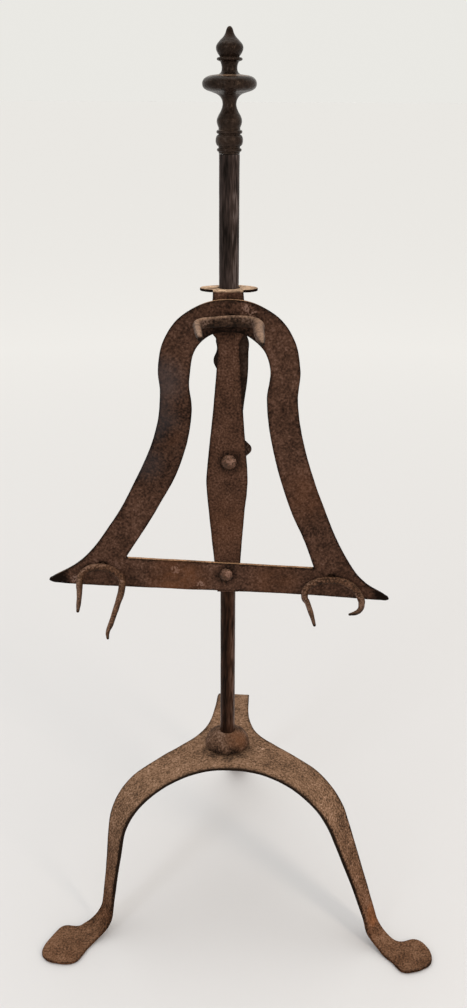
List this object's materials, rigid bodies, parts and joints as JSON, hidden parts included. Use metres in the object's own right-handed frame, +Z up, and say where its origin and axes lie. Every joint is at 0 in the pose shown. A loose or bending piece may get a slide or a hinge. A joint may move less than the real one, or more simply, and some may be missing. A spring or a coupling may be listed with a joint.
{
  "type": "ham holder stand",
  "caption": "Wrought iron stand: a bell-shaped rack with double-pronged forks slides and turns on a round post over a three-legged base, to hold hams.",
  "frame": {"origin": "on the floor, under the middle of the object's bounding box", "axes": "+Z up, along the post; -Y towards the front, where the forks point; +X to the right seen from the front"},
  "size_m": [0.3369, 0.3291, 0.7326],
  "materials": {
    "base_iron": "forged iron, light brown rust patina, granular",
    "boss_iron": "forged iron, grey-brown, tool marks",
    "post_iron": "dark iron, handled smooth, semi-gloss",
    "finial_iron": "turned iron, near black, semi-gloss",
    "slider_iron": "forged iron, dark red-brown, matte",
    "rack_iron": "forged iron, dark red-brown, mottled matte",
    "spring_steel": "thin dark spring strip, matte",
    "fork_iron": "forged iron, tan-brown, worn edges",
    "rivet_iron": "hammered rivet head, dark brown"
  },
  "bodies": {
    "base": {"tripod_base": "base_iron", "post_boss": "boss_iron"},
    "post": {"post": "post_iron", "finial": "finial_iron"},
    "rack": {"slider_plate": "slider_iron", "bell_frame": "rack_iron", "leaf_spring": "spring_steel", "fork_top": "fork_iron", "fork_left": "fork_iron", "fork_right": "fork_iron", "frame_rivet": "rivet_iron", "spring_rivet": "rivet_iron"}
  },
  "joints": [
    {"name": "rack_swivel", "type": "hinge", "parent": "base", "child": "post", "pos_m": [-0.009, -0.054, 0.1545], "axis": [0, 0, 1], "continuous": true},
    {"name": "rack_height", "type": "slide", "parent": "post", "child": "rack", "axis": [0, 0, 1], "range_m": [-0.137, 0.091]}
  ]
}
